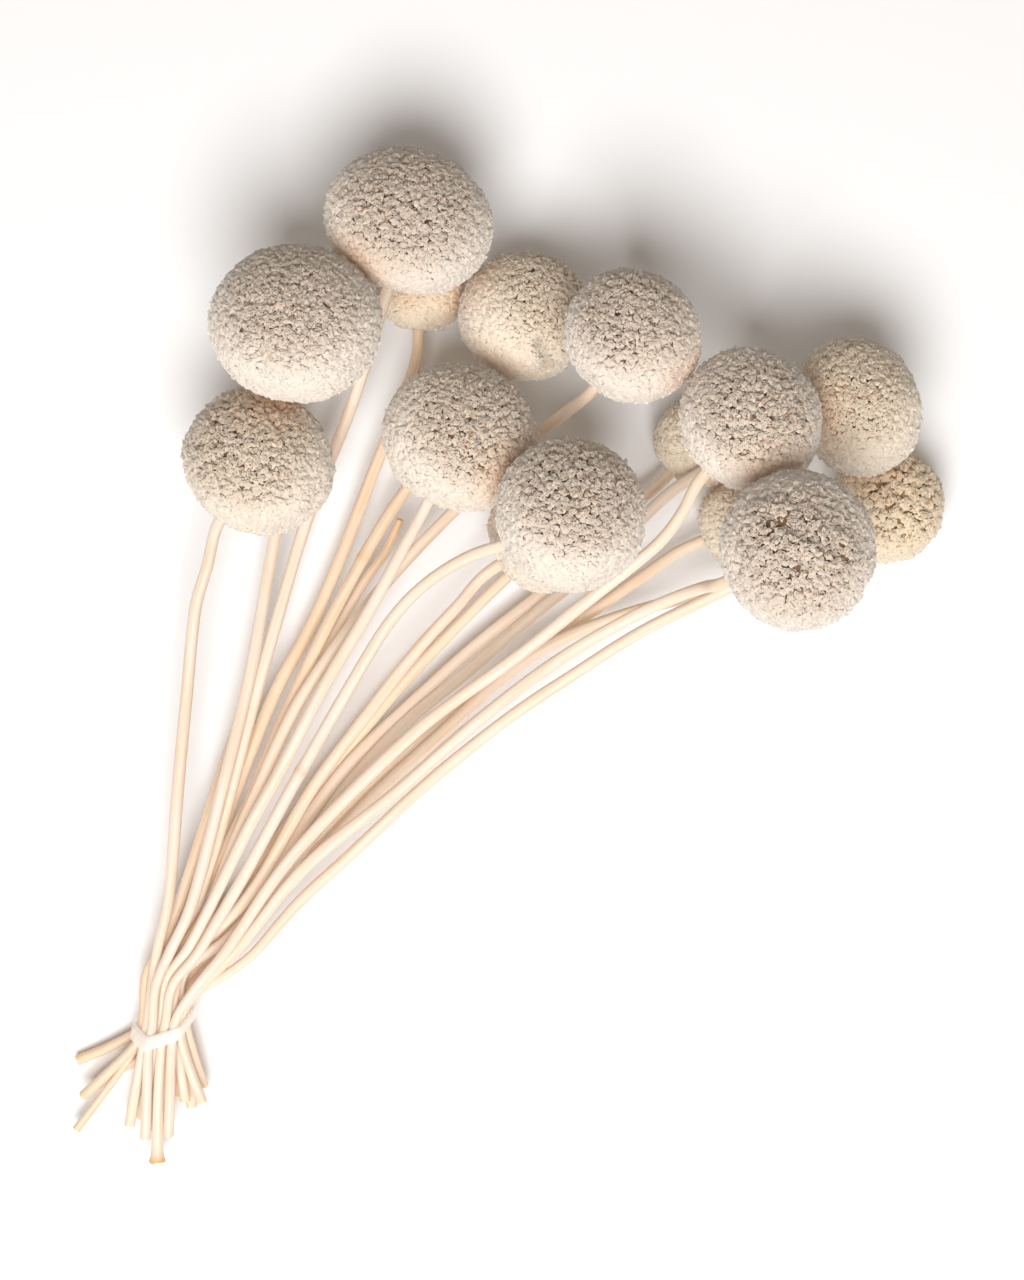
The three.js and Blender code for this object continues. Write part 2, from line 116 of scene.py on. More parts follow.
class Sheet:
    """A new material's node tree, wired by expressions."""

    def __init__(self, name: str) -> None:
        """Starts an empty node material of that name."""
        self.material = bpy.data.materials.new(name)
        self.material.use_nodes = True
        self.tree = self.material.node_tree
        self.tree.nodes.clear()

    def add(
        self,
        kind: str,
        settings: dict[str, Any] | None = None,
        sockets: dict[int | str, Any] | None = None,
        output: int | str = 0,
    ) -> Wire:
        """Adds a node of any kind.

        Args:
            kind: The node's type.
            settings: Properties set before anything is plugged in.
            sockets: Values or wires for the inputs, by name or place.
            output: The output that is handed back.

        Returns:
            The wanted output as a wire.
        """
        node = self.tree.nodes.new(kind)
        for name, value in (settings or {}).items():
            setattr(node, name, value)
        for place, value in (sockets or {}).items():
            if isinstance(value, Wire):
                self.tree.links.new(value.socket, node.inputs[place])
            else:
                node.inputs[place].default_value = value
        return Wire(self, node.outputs[output] if node.outputs else None)

    def mix(self, first: Any, second: Any, share: Any, blend: str = "MIX") -> Wire:
        """Blends two colours by a share of the second."""
        settings = {"data_type": "RGBA", "blend_type": blend}
        sockets = {MIX_SHARE: share, MIX_FIRST: first, MIX_SECOND: second}
        return self.add("ShaderNodeMix", settings, sockets, MIX_RESULT)

    def shade(self, colour: Any, factor: Any) -> Wire:
        """Darkens or lightens a colour by a factor."""
        grey = self.add("ShaderNodeCombineColor", None, {0: factor, 1: factor, 2: factor})
        return self.mix(colour, grey, 1.0, "MULTIPLY")

    def attribute(self, name: str, output: str = "Fac") -> Wire:
        """Reads one of the piece's own attributes."""
        return self.add("ShaderNodeAttribute", {"attribute_name": name}, None, output)

    def channels(self, name: str) -> tuple[Wire, Wire, Wire]:
        """The three parts of a colour attribute as numbers."""
        parts = self.add("ShaderNodeSeparateColor", None, {0: self.attribute(name, "Color")})
        node = parts.socket.node
        return tuple(Wire(self, node.outputs[place]) for place in range(3))

    def noise(self, scale: float, detail: float, along: Any = None, stretch: Any = (1, 1, 1)) -> Wire:
        """Noise with features of 1 / scale, on Object coordinates unless another vector is given."""
        place = along or self.add("ShaderNodeTexCoord", None, None, "Object")
        mapped = self.add("ShaderNodeMapping", None, {"Vector": place, "Scale": stretch})
        return self.add("ShaderNodeTexNoise", None, {"Vector": mapped, "Scale": scale, "Detail": detail})

    def surface(self, values: dict[str, Any], height: Any = None, depth: float = 0.0) -> bpy.types.Material:
        """Ends the sheet in a Principled shader.

        Args:
            values: Inputs of the shader by name.
            height: Relief from 0 to 1, or nothing for a plain surface.
            depth: How deep that relief is, in metres.

        Returns:
            The finished material.
        """
        if height is not None:
            bump = {"Height": height, "Distance": depth, "Strength": 1.0}
            values = {**values, "Normal": self.add("ShaderNodeBump", None, bump)}
        shader = self.add("ShaderNodeBsdfPrincipled", None, values)
        self.add("ShaderNodeOutputMaterial", None, {"Surface": shader})
        return self.material


@dataclass(frozen=True)
class FloretFinish:
    """Dry papery florets: pale rims over brown, painted-shaded gaps, the apex darker partly by painted
    shade, close and creamy at the base.
    """

    warmth: float  # 0 for a greyish head, 1 for a yellow one
    warm_gap: float = 0.45  # how far that warmth tints the gaps
    warm_rim: float = 0.7  # and how far the rims
    stained: float = 0.25  # strength of the brown stains in the gaps
    painted_contact_shade: float = 0.7  # strength of the painted warm shade beside a neighbouring head

    def material(self, name: str) -> bpy.types.Material:
        """Makes the material.

        Args:
            name: The material's name.

        Returns:
            A material that reads the florets' own attribute.
        """
        sheet = Sheet(name)
        depth, tone, openness = sheet.channels("floret")
        contact_shade = sheet.attribute("floret", "Alpha")
        # Towards the open face, gaps and rims grow darker: partly the open florets' own colour, partly
        # painted shade on the side turned from the light.
        opened = openness.between(0.1, 1.0)
        gap = sheet.mix(paint(228, 208, 189), paint(134, 102, 76), opened)
        gap = sheet.mix(gap, paint(214, 168, 112), self.warm_gap * self.warmth)
        rim = sheet.mix(paint(237, 227, 216), paint(218, 205, 191), opened)
        rim = sheet.mix(rim, paint(246, 228, 196), self.warm_rim * self.warmth)
        stain = sheet.noise(190, 2).between(0.56, 0.78)
        gap = sheet.mix(gap, paint(182, 134, 88), self.stained * stain)
        # Darker towards each floret's root: the florets' own brown, deepened with painted shade down in the
        # gaps.
        colour = sheet.mix(gap, rim, depth.between(0.42, 0.96))
        # Painted warm shade beside neighbouring heads.
        colour = sheet.mix(colour, paint(214, 160, 110), self.painted_contact_shade * contact_shade)
        # Each floret's own random tone, lowered where the core and the scars carry painted shade.
        colour = sheet.shade(colour, 0.92 + 0.1 * tone)
        values = {
            "Base Color": colour,
            "Roughness": 0.92,
            "Specular IOR Level": 0.2,
            "Sheen Weight": 0.9,
            "Sheen Roughness": 0.4,
            "Sheen Tint": paint(255, 246, 236),
            # A faint glow of the florets' own colour: painted light that lifts their shadows.
            "Emission Color": colour,
            "Emission Strength": 0.1,
        }
        return sheet.surface(values)


@dataclass(frozen=True)
class StemFinish:
    """Pithy dried stem: satin cream with peach and tan fibres along it."""

    tone: float  # 0 for a bleached stem, 1 for a tan one
    patched: float = 0.3  # strength of the peach patches
    rib_relief: float = 0.02 * MM

    def material(self, name: str) -> bpy.types.Material:
        """Makes the material.

        Args:
            name: The material's name.

        Returns:
            A material that follows the stem by its UV map, in millimetres.
        """
        sheet = Sheet(name)
        along = sheet.add("ShaderNodeUVMap", {"uv_map": "UVMap"})
        fibre = sheet.noise(1.0, 3, along, (1.6, 0.06, 1))
        patch = sheet.noise(1.0, 2, along, (0.12, 0.035, 1))
        blond = sheet.mix(paint(232, 220, 208), paint(229, 203, 175), self.tone)
        tan = sheet.mix(paint(228, 208, 184), paint(218, 182, 142), self.tone)
        colour = sheet.mix(blond, tan, fibre.between(0.40, 0.76))
        colour = sheet.mix(colour, paint(228, 190, 150), self.patched * patch.between(0.45, 0.75))
        colour = sheet.mix(colour, paint(212, 164, 92), sheet.attribute("age"))
        ribs = sheet.noise(1.0, 2, along, (2.6, 0.05, 1))
        values = {
            "Base Color": colour,
            "Roughness": 0.5 + 0.15 * fibre,
            "Subsurface Weight": 0.35,
            "Subsurface Radius": (1.0, 0.7, 0.45),
            "Subsurface Scale": MM,
            # A faint glow of the stem's own colour: painted light that lifts its shadows.
            "Emission Color": colour,
            "Emission Strength": 0.08,
        }
        return sheet.surface(values, ribs, self.rib_relief)


@dataclass(frozen=True)
class BandFinish:
    """Whitish translucent band with a satin face."""

    relief: float = 0.03 * MM

    def material(self, name: str) -> bpy.types.Material:
        """Makes the material.

        Args:
            name: The material's name.

        Returns:
            A pale, slightly see-through material.
        """
        sheet = Sheet(name)
        haze = sheet.noise(900, 2)
        colour = sheet.mix(paint(254, 250, 245), paint(248, 240, 230), haze.between(0.4, 0.7))
        values = {
            "Base Color": colour,
            "Roughness": 0.35 + 0.12 * haze,
            "Alpha": 0.3 + 0.25 * haze,
            # A glow of the band's own colour: painted light that keeps it white.
            "Emission Color": colour,
            "Emission Strength": 0.15,
        }
        return sheet.surface(values, haze, self.relief)


@dataclass(frozen=True)
class TableFinish:
    """Plain pale table."""

    def material(self, name: str) -> bpy.types.Material:
        """Makes the plain material of that name."""
        return Sheet(name).surface({"Base Color": paint(246, 246, 247), "Roughness": 0.9})


# --- modelling helpers


def deselect_all() -> None:
    """Leaves no object selected or in edit mode."""
    if bpy.context.object and bpy.context.object.mode != "OBJECT":
        bpy.ops.object.mode_set(mode="OBJECT")
    bpy.ops.object.select_all(action="DESELECT")


def choose(piece: bpy.types.Object, wanted: Callable[[Vector], bool]) -> None:
    """Selects the vertices of a piece in edit mode by their place."""
    bpy.ops.mesh.select_mode(type="VERT")
    bpy.ops.mesh.select_all(action="DESELECT")
    shape = bmesh.from_edit_mesh(piece.data)
    for vertex in shape.verts:
        vertex.select = bool(wanted(vertex.co))
    shape.select_flush_mode()
    bmesh.update_edit_mesh(piece.data)


def read(items: Any, key: str, width: int, kind: type = np.float32) -> np.ndarray:
    """Reads a value of that width from each of a mesh's items, one a row."""
    values = np.empty(len(items) * width, kind)
    items.foreach_get(key, values)
    return values.reshape(-1, width)


def write(items: Any, key: str, values: np.ndarray, kind: type = np.float32) -> None:
    """Writes a row of values to each of a mesh's items."""
    items.foreach_set(key, values.astype(kind).ravel())


def corners_of(mesh: bpy.types.Mesh) -> np.ndarray:
    """A mesh's vertices as an array of places."""
    return read(mesh.vertices, "co", 3).astype(float)


def triangles_of(mesh: bpy.types.Mesh) -> np.ndarray:
    """A mesh's faces as an array of triangles."""
    mesh.calc_loop_triangles()
    return read(mesh.loop_triangles, "vertices", 3, np.int32)


def mesh_piece(name: str, places: np.ndarray, triangles: np.ndarray) -> bpy.types.Object:
    """A new object from arrays of places and triangles.

    Args:
        name: The object's name.
        places: One row for each vertex.
        triangles: One row of three vertices for each face.

    Returns:
        The object, linked to the scene.
    """
    mesh = bpy.data.meshes.new(name)
    mesh.vertices.add(len(places))
    write(mesh.vertices, "co", places)
    mesh.loops.add(triangles.size)
    write(mesh.loops, "vertex_index", triangles, np.int32)
    mesh.polygons.add(len(triangles))
    write(mesh.polygons, "loop_start", np.arange(0, triangles.size, 3), np.int32)
    mesh.update(calc_edges=True)
    piece = bpy.data.objects.new(name, mesh)
    bpy.context.scene.collection.objects.link(piece)
    return piece


def set_point_value(mesh: bpy.types.Mesh, name: str, values: np.ndarray) -> None:
    """Stores one number, or one colour, for each vertex."""
    kind, key = ("FLOAT", "value") if values.ndim == 1 else ("FLOAT_COLOR", "color")
    write(mesh.attributes.new(name=name, type=kind, domain="POINT").data, key, values)


def unit(vectors: np.ndarray) -> np.ndarray:
    """Vectors along the last axis brought to length one."""
    return vectors / np.maximum(np.linalg.norm(vectors, axis=-1, keepdims=True), 1e-12)


def soften(mesh: bpy.types.Mesh, outward: np.ndarray, share: float) -> None:
    """Turns the shading of many small faces towards that of the round form they cover.

    Args:
        mesh: The mesh.
        outward: The round form's normal at each vertex.
        share: How far the normals turn, from 0 to 1.
    """
    write(mesh.polygons, "use_smooth", np.ones(len(mesh.polygons)), bool)
    turned = unit((1 - share) * read(mesh.vertex_normals, "vector", 3) + share * outward)
    mesh.normals_split_custom_set_from_vertices(turned.tolist())


def hand_over(piece: bpy.types.Object, material: bpy.types.Material, node: str) -> None:
    """Gives a finished piece its material and its place in the part.

    Args:
        piece: The piece, at the origin with its place in its mesh.
        material: Its finish.
        node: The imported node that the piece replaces.
    """
    piece.data.materials.clear()
    piece.data.materials.append(material)
    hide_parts(node)
    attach(piece, BODY)
    log.info("%s: %d faces for %s", piece.name, len(piece.data.polygons), node)


# --- florets


@dataclass(frozen=True)
class FloretShape:
    """One floret, its root at the origin and its mouth at height one, as arrays that are copied."""

    places: np.ndarray
    triangles: np.ndarray

    @property
    def depth(self) -> np.ndarray:
        """How near the rim each vertex lies, from 0 at the root to 1."""
        return np.clip(self.places[:, 2], 0, 1)


@dataclass(frozen=True)
class FloretModel:
    """Sizes of a floret: a five-lobed trumpet whose rim is drawn into points and folds."""

    points: float  # how far three of its lobes stand up
    fold: float  # how far the other two do
    hollow: float  # how far the mouth is sunk
    squeeze: float  # how much longer than wide the mouth is
    mouth: float = 0.8  # height of the mouth before its points are drawn out
    brim: float = 0.7  # what lies above this height belongs to the mouth

    def build(self) -> FloretShape:
        """Models the floret once.

        Returns:
            Its shape, ready to be copied.
        """
        deselect_all()
        at = (0, 0, self.mouth / 2)
        bpy.ops.mesh.primitive_cone_add(vertices=5, radius1=0, radius2=1, depth=self.mouth, location=at)
        floret = bpy.context.object
        bpy.ops.object.transform_apply(location=True, rotation=False, scale=False)
        bpy.ops.object.mode_set(mode="EDIT")
        choose(floret, lambda place: place.z > self.brim)
        bpy.ops.mesh.poke()
        # The middle of the mouth sinks, the first and side lobes rise, and the last two fold.
        moves = (
            (lambda place: math.hypot(place.x, place.y) < 0.5, -self.hollow),
            (lambda place: place.y > 0.9 or abs(place.x) > 0.9, self.points),
            (lambda place: place.y < -0.6, self.fold),
        )
        for wanted, rise in moves:
            choose(floret, lambda place: place.z > self.brim and wanted(place))
            bpy.ops.transform.translate(value=(0, 0, rise))
        bpy.ops.mesh.select_all(action="SELECT")
        bpy.ops.transform.resize(value=(1 / self.squeeze, self.squeeze, 1))
        bpy.ops.mesh.quads_convert_to_tris()
        bpy.ops.mesh.normals_make_consistent(inside=False)
        bpy.ops.object.mode_set(mode="OBJECT")
        shape = FloretShape(corners_of(floret.data), triangles_of(floret.data))
        bpy.data.objects.remove(floret)
        return shape


# An open crown, a curl and a flake, and last the closed scale.
FLORET_MODELS = (
    FloretModel(points=0.24, fold=0.05, hollow=0.28, squeeze=1.15),
    FloretModel(points=0.12, fold=0.32, hollow=0.22, squeeze=1.5),
    FloretModel(points=0.28, fold=-0.2, hollow=0.18, squeeze=1.7),
    FloretModel(points=0.12, fold=0.0, hollow=0.05, squeeze=1.45),
)


@dataclass(frozen=True)
class BloomSizes:
    """How the florets of one kind of head stand."""

    pitch: float  # from one floret to the next
    cluster: float  # from one cluster to the next
    relief: float  # how much higher the middle of a cluster stands than its edge
    gather: float  # how far florets lean together into clusters, as a share of the way
    ragged: float  # how unevenly the tips stand
    splay: float  # how far florets lean out of the straight, as a slope
    scales: float  # share of florets that are still closed scales


class Bloom(Enum):
    """The kinds of head in the bunch."""

    OPEN = BloomSizes(0.63 * MM, 1.60 * MM, 0.56 * MM, 0.13, 0.12 * MM, 0.55, 0.05)
    CLOSE = BloomSizes(0.63 * MM, 1.45 * MM, 0.38 * MM, 0.10, 0.10 * MM, 0.50, 0.15)
    KNOBBY = BloomSizes(0.66 * MM, 2.0 * MM, 0.80 * MM, 0.18, 0.07 * MM, 0.50, 0.6)


@dataclass(frozen=True)
class Graded:
    """A measure that changes from the closed florets of a head to its open ones."""

    closed: float
    gain: float  # what is added where they are fully open

    def at(self, openness: np.ndarray) -> np.ndarray:
        """The measure at each openness."""
        return self.closed + self.gain * openness


@dataclass(frozen=True)
class Scar:
    """A place where the florets of a head are parted, along a line over its surface."""

    start: tuple[float, float, float]  # directions from the head's middle, in the part's frame
    end: tuple[float, float, float]
    width: float
    depth: float
    ridge: float = 0.0  # how far the florets beside it stand up
    steps: int = 12  # places along its line

    def lift(self, directions: np.ndarray, radius: float) -> np.ndarray:
        """How far the surface rises or sinks.

        Args:
            directions: Unit directions from the head's middle, in the part's frame.
            radius: The head's widest radius.

        Returns:
            A height for each direction, negative in the scar.
        """
        share = np.linspace(0, 1, self.steps)[:, None]
        line = unit((1 - share) * np.array(self.start) + share * np.array(self.end))
        nearest = np.linalg.norm(directions[:, None] - line[None], axis=2).min(axis=1) * radius
        sunk = self.depth * np.exp(-((nearest / self.width) ** 2))
        raised = self.ridge * np.exp(-(((nearest - 2 * self.width) / self.width) ** 2))
        return raised - sunk


@dataclass
class FlowerHead:
    """One globe of packed florets on the end of its stem."""

    number: int
    radius: float
    heading: float  # where the apex points in the plan, in degrees from +X
    lean: float  # and how far up from the table
    flat: float  # height along the stem as a share of the width
    face: tuple[float, float]  # middle of the open florets in the plan, as shares of the radius
    bloom: Bloom = Bloom.OPEN
    warmth: float = 0.1
    scars: tuple[Scar, ...] = ()
    face_edge: float = 0.1  # cosine from the face's middle where florets start to open
    face_span: float = 0.85  # what more it is where they are fully open
    core_depth: float = 1.2 * MM  # from the open florets' tips in to the core
    core_share: Graded = Graded(0.55, 0.45)  # of that depth
    core_painted_shade: float = -2.5  # tone of the core under open florets, painted shade seen down the gaps; a floret's own tone is 0 to 1
    scar_painted_shade: float = 2.5  # how much lower the tone is in a scar: painted shade in its crease
    coverage: float = 0.93  # the head's surface as a share of a sphere's as wide
    floret_stray: float = 0.22  # how far florets stray from even places
    cluster_stray: float = 0.45  # and how far clusters do
    cluster_edge: float = 0.55  # from a cluster's middle to its edge, in its pitches
    edge_limit: float = 1.3  # farthest out that a floret counts as, in those distances
    cluster_level: float = 0.45  # squared distance where a cluster neither rises nor sinks
    bunching: Graded = Graded(0.2, 0.8)  # share of the clusters' gather, relief and splay
    unevenness: Graded = Graded(0.5, 0.5)  # share of the tips' raggedness
    proud_share: float = 0.05  # of the florets stand proud
    proud: float = 0.22 * MM  # of the others
    chance_lean: Graded = Graded(0.14, 0.2)  # as a slope
    row_pull: float = 1.3  # how strongly closed florets face along rows
    floret_width: Graded = Graded(0.98, -0.2)  # as a share of the pitch
    width_spread: tuple[float, float] = (0.85, 1.2)
    floret_length: float = 1.5 * MM
    length_spread: tuple[float, float] = (0.85, 1.1)
    closed_scales: float = 0.6  # share of the florets at the base that are closed scales
    tip_inset: float = 0.3 * MM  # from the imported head's surface in to the florets' mean tips
    lumps: float = 0.28 * MM  # slow unevenness of the whole globe
    lump_waves: int = 7
    lump_pace: float = 4.5  # of those waves, in radians along the radius
    stem_gap: float = 1.25 * MM  # florets keep this far from the stem's middle line
    under_table: float = 0.3 * MM  # florets whose tips would lie deeper are left out
    table_press: float = 0.02  # what is left of the depth of the others
    softness: float = 0.5  # how far the shading follows the round of the head
    catch_light: float = 0.4  # how far it turns up, as thin tips catch light from above
    contact_shade_reach: float = 2.2 * MM  # how far from a neighbouring head the painted warm shade reaches
    axes: np.ndarray = field(init=False)
    centre: np.ndarray = field(init=False)

    def __post_init__(self) -> None:
        """Works out the head's own axes, with the apex as the third."""
        turn, rise = math.radians(self.heading), math.radians(self.lean)
        apex = np.array([math.cos(turn) * math.cos(rise), math.sin(turn) * math.cos(rise), math.sin(rise)])
        side = unit(np.cross([0.0, 0.0, 1.0], apex))
        self.axes = np.stack([side, np.cross(apex, side), apex])

    @property
    def node(self) -> str:
        """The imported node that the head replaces."""
        return f"head_{self.number:02d}"

    def seat(self, stem_end: np.ndarray) -> None:
        """Sets the head on the end of its stem."""
        self.centre = stem_end + self.axes[2] * (self.flat * (1 - HEAD_HOLLOW) * self.radius - HEAD_SEAT)

    def openness(self, directions: np.ndarray) -> np.ndarray:
        """How open the florets are, from 1 in the middle of the open side to 0 away from it.

        Args:
            directions: Unit directions in the head's own axes.

        Returns:
            One value for each direction.
        """
        right, up = self.face
        middle = self.axes @ np.array([right, up, math.sqrt(1 - right**2 - up**2)])
        share = np.clip((directions @ middle - self.face_edge) / self.face_span, 0, 1)
        return share * share * (3 - 2 * share)

    def contact_shade(self, places: np.ndarray, others: list["FlowerHead"]) -> np.ndarray:
        """How much painted warm shade the other heads lay on each place in the part's frame, from 0 to 1.
        """
        gaps = [np.linalg.norm(places - other.centre, axis=1) - other.radius for other in others]
        return np.exp(-np.clip(np.min(gaps, axis=0), 0, None) / self.contact_shade_reach)

    def reach(self, directions: np.ndarray, random: np.random.Generator) -> np.ndarray:
        """Distance from the middle to the florets' mean tips.

        Args:
            directions: Unit directions in the head's own axes.
            random: Source of the slow lumps, the same for tips and core.

        Returns:
            One distance for each direction.
        """
        across = np.hypot(directions[:, 0], directions[:, 1])
        globe = self.radius / np.hypot(directions[:, 2] / self.flat, across)
        drawn_in = 1 - HEAD_HOLLOW * np.clip(-directions[:, 2], 0, None) ** HOLLOW_POWER
        lumps = np.zeros(len(directions))
        for _ in range(self.lump_waves):
            wave = random.normal(size=3) * self.lump_pace
            lumps += np.sin(directions @ wave + random.uniform(0, 2 * math.pi)) / self.lump_waves
        return globe * drawn_in - self.tip_inset + 2 * self.lumps * lumps + self.scarred(directions)

    def scarred(self, directions: np.ndarray) -> np.ndarray | float:
        """How far the scars raise or sink the surface, by directions in the head's own axes."""
        return sum(scar.lift(directions @ self.axes, self.radius) for scar in self.scars)

    def core(self) -> tuple[np.ndarray, np.ndarray]:
        """The globe that the florets stand on.

        Returns:
            Places in the head's own axes, and triangles.
        """
        deselect_all()
        bpy.ops.mesh.primitive_ico_sphere_add(subdivisions=3, radius=1)
        globe = bpy.context.object
        directions = unit(corners_of(globe.data))
        triangles = triangles_of(globe.data)
        bpy.data.objects.remove(globe)
        distances = self.reach(directions, np.random.default_rng(self.number))
        distances -= self.core_depth * self.core_share.at(self.openness(directions))
        return directions * distances[:, None], triangles

    def floret_places(self, random: np.random.Generator) -> dict[str, np.ndarray]:
        """Where the florets stand and how they lean.

        Args:
            random: Source of every draw for this head.

        Returns:
            Roots, outward axes, widths, lengths, openness and tone with the scars' painted shade, one row
            for each floret.
        """
        sizes = self.bloom.value
        count = int(4 * math.pi * self.radius**2 * self.coverage / (CELL * sizes.pitch**2))
        directions = self.even_directions(count, self.floret_stray, random)
        clusters = int(count * (sizes.pitch / sizes.cluster) ** 2)
        middles = self.nearest(self.even_directions(clusters, self.cluster_stray, random), directions)
        openness = self.openness(directions)
        away = (directions - middles) * self.radius
        edge = np.linalg.norm(away, axis=1) / (self.cluster_edge * sizes.cluster)
        edge = np.clip(edge, 0, self.edge_limit)
        strength = self.bunching.at(openness)
        places = unit(directions - away / self.radius * (sizes.gather * strength)[:, None])
        tips = self.reach(places, np.random.default_rng(self.number))
        tips += sizes.relief * strength * (self.cluster_level - edge**2)
        tips += random.normal(size=count) * sizes.ragged * self.unevenness.at(openness)
        tips += np.where(random.uniform(0, 1, count) < self.proud_share, self.proud, 0)
        outward = unit(places * np.array([1, 1, 1 / self.flat**2]))
        lean = unit(away) * (sizes.splay * strength * edge)[:, None]
        lean += random.normal(size=(count, 3)) * self.chance_lean.at(openness)[:, None]
        # Florets in a scar take a lower tone: painted shade in its crease.
        painted_scar_shade = self.scar_painted_shade * np.clip(-self.scarred(places) / MM, 0, 1)
        rows = unit(np.cross([0.0, 0.0, 1.0], places)) * (self.row_pull * (1 - openness))[:, None]
        wide = sizes.pitch * self.floret_width.at(openness) * random.uniform(*self.width_spread, count)
        return {
            "tips": places * tips[:, None],
            "axes": unit(outward + lean),
            "rows": rows + random.normal(size=(count, 3)),
            "width": wide,
            "length": self.floret_length * random.uniform(*self.length_spread, count),
            "openness": openness,
            "tone": random.uniform(0, 1, count) - painted_scar_shade,
            "kind": self.floret_kinds(openness, random),
        }

    def floret_kinds(self, openness: np.ndarray, random: np.random.Generator) -> np.ndarray:
        """Draws a model for each floret: closed scales at the base, open ones round the apex."""
        scales = self.bloom.value.scales
        scales += (1 - scales) * (1 - openness) * self.closed_scales
        opened = random.integers(0, len(FLORET_MODELS) - 1, len(openness))
        return np.where(random.uniform(0, 1, len(openness)) < scales, len(FLORET_MODELS) - 1, opened)

    @staticmethod
    def nearest(targets: np.ndarray, places: np.ndarray) -> np.ndarray:
        """Finds the target that is nearest to each place.

        Args:
            targets: One target a row.
            places: One place a row.

        Returns:
            The nearest target's own place, one row for each place.
        """
        tree = KDTree(len(targets))
        for index, target in enumerate(targets):
            tree.insert(target, index)
        tree.balance()
        return np.array([tree.find(place)[0] for place in places])

    @staticmethod
    def even_directions(count: int, stray: float, random: np.random.Generator) -> np.ndarray:
        """Directions spread evenly by the golden angle, each strayed a little.

        Args:
            count: How many.
            stray: How far they stray, as a share of their distance.
            random: Source of the straying.

        Returns:
            One unit direction a row.
        """
        index = np.arange(count)
        height = -1 + (2 * index + 1) / count
        ring = np.sqrt(1 - height**2)
        turn = index * GOLDEN_ANGLE
        even = np.stack([ring * np.cos(turn), ring * np.sin(turn), height], axis=1)
        reach = stray * math.sqrt(4 * math.pi / count)
        return unit(even + random.uniform(-1, 1, (count, 3)) * reach)

    def florets(self, shapes: list[FloretShape], random: np.random.Generator) -> list[tuple]:
        """Copies the floret shapes all over the globe.

        Args:
            shapes: The modelled florets.
            random: Source of every draw for this head.

        Returns:
            For each shape its copies' places, triangles and attribute rows, in the part's frame.
        """
        stand = self.floret_places(random)
        tips = stand["tips"] @ self.axes
        outward = stand["axes"] @ self.axes
        from_stem = np.linalg.norm(stand["tips"][:, :2], axis=1)
        above = self.centre[2] + tips[:, 2] > -self.under_table
        kept = above & ((from_stem > self.stem_gap) | (stand["tips"][:, 2] > 0))
        across = unit(np.cross(stand["rows"] @ self.axes, outward))
        turned = np.stack([across, np.cross(outward, across), outward], axis=1)
        copies = []
        for kind, shape in enumerate(shapes):
            rows = np.flatnonzero(kept & (stand["kind"] == kind))
            size = np.stack([stand["width"], stand["width"], stand["length"]], axis=1)[rows]
            local = shape.places[None] * size[:, None]
            local[:, :, 2] -= stand["length"][rows][:, None]
            places = np.einsum("nvk,nkj->nvj", local, turned[rows]) + tips[rows][:, None] + self.centre
            steps = np.arange(len(rows))[:, None, None] * len(shape.places)
            triangles = shape.triangles[None] + steps
            colour = np.ones((len(rows), len(shape.places), 4))
            colour[:, :, 0] = shape.depth[None]
            colour[:, :, 1] = stand["tone"][rows][:, None]
            colour[:, :, 2] = stand["openness"][rows][:, None]
            copies.append((places.reshape(-1, 3), triangles.reshape(-1, 3), colour.reshape(-1, 4)))
        return copies

    def build(self, shapes: list[FloretShape], others: list["FlowerHead"]) -> None:
        """Makes the head: its core with every floret, one piece.

        Args:
            shapes: The modelled florets.
            others: The other heads, all seated.
        """
        local, triangles = self.core()
        openness = self.openness(unit(local))
        # The core's tone drops under open florets: painted shade down the gaps.
        colour = np.stack([0 * openness, self.core_painted_shade * openness, openness, 0 * openness], axis=1)
        parts = [(local @ self.axes + self.centre, triangles, colour)]
        parts += self.florets(shapes, np.random.default_rng(FLORET_SEED + self.number))
        starts = np.cumsum([0] + [len(part[0]) for part in parts[:-1]])
        places = np.concatenate([part[0] for part in parts])
        places[:, 2] = np.where(places[:, 2] < 0, self.table_press * places[:, 2], places[:, 2])
        joined = np.concatenate([part[1] + start for part, start in zip(parts, starts)])
        piece = mesh_piece(f"floret_head_{self.number:02d}", places, joined)
        values = np.concatenate([part[2] for part in parts])
        # The fourth channel holds the painted shade beside the other heads.
        values[:, 3] = self.contact_shade(places, others)
        set_point_value(piece.data, "floret", values)
        soften(piece.data, unit(unit(places - self.centre) + [0, 0, self.catch_light]), self.softness)
        finish = FloretFinish(self.warmth).material(f"florets_{self.number:02d}")
        hand_over(piece, finish, self.node)


# --- stems


@dataclass(frozen=True)
class Mark:
    """How a knot or an end changes the stem beside it."""

    reach: float  # how far along the stem it shows
    swell: float  # how much thicker the stem is, as a share of its radius
    age: float  # how brown it is, from 0 to 1
    power: int = 1  # 1 for a sharp mark, 2 for a rounded one


class StemMark(Enum):
    """The knots and ends of the stems."""

    CUT = Mark(1.2 * MM, 0.0, 0.22)
    FRAYED = Mark(1.1 * MM, 0.45, 0.75)
    KNOT = Mark(0.7 * MM, 0.14, 0.4, 2)
    SNAPPED = Mark(2.6 * MM, -0.25, 0.55, 2)
    IN_HEAD = Mark(2.5 * MM, 0.0, 0.25)


@dataclass(frozen=True)
class StemRun:
    """What a stem is like at each place along its line."""

    line: np.ndarray
    reached: np.ndarray  # distance from the cut end
    first: np.ndarray  # first axis across the line
    second: np.ndarray  # second axis across
    radii: np.ndarray
    age: np.ndarray


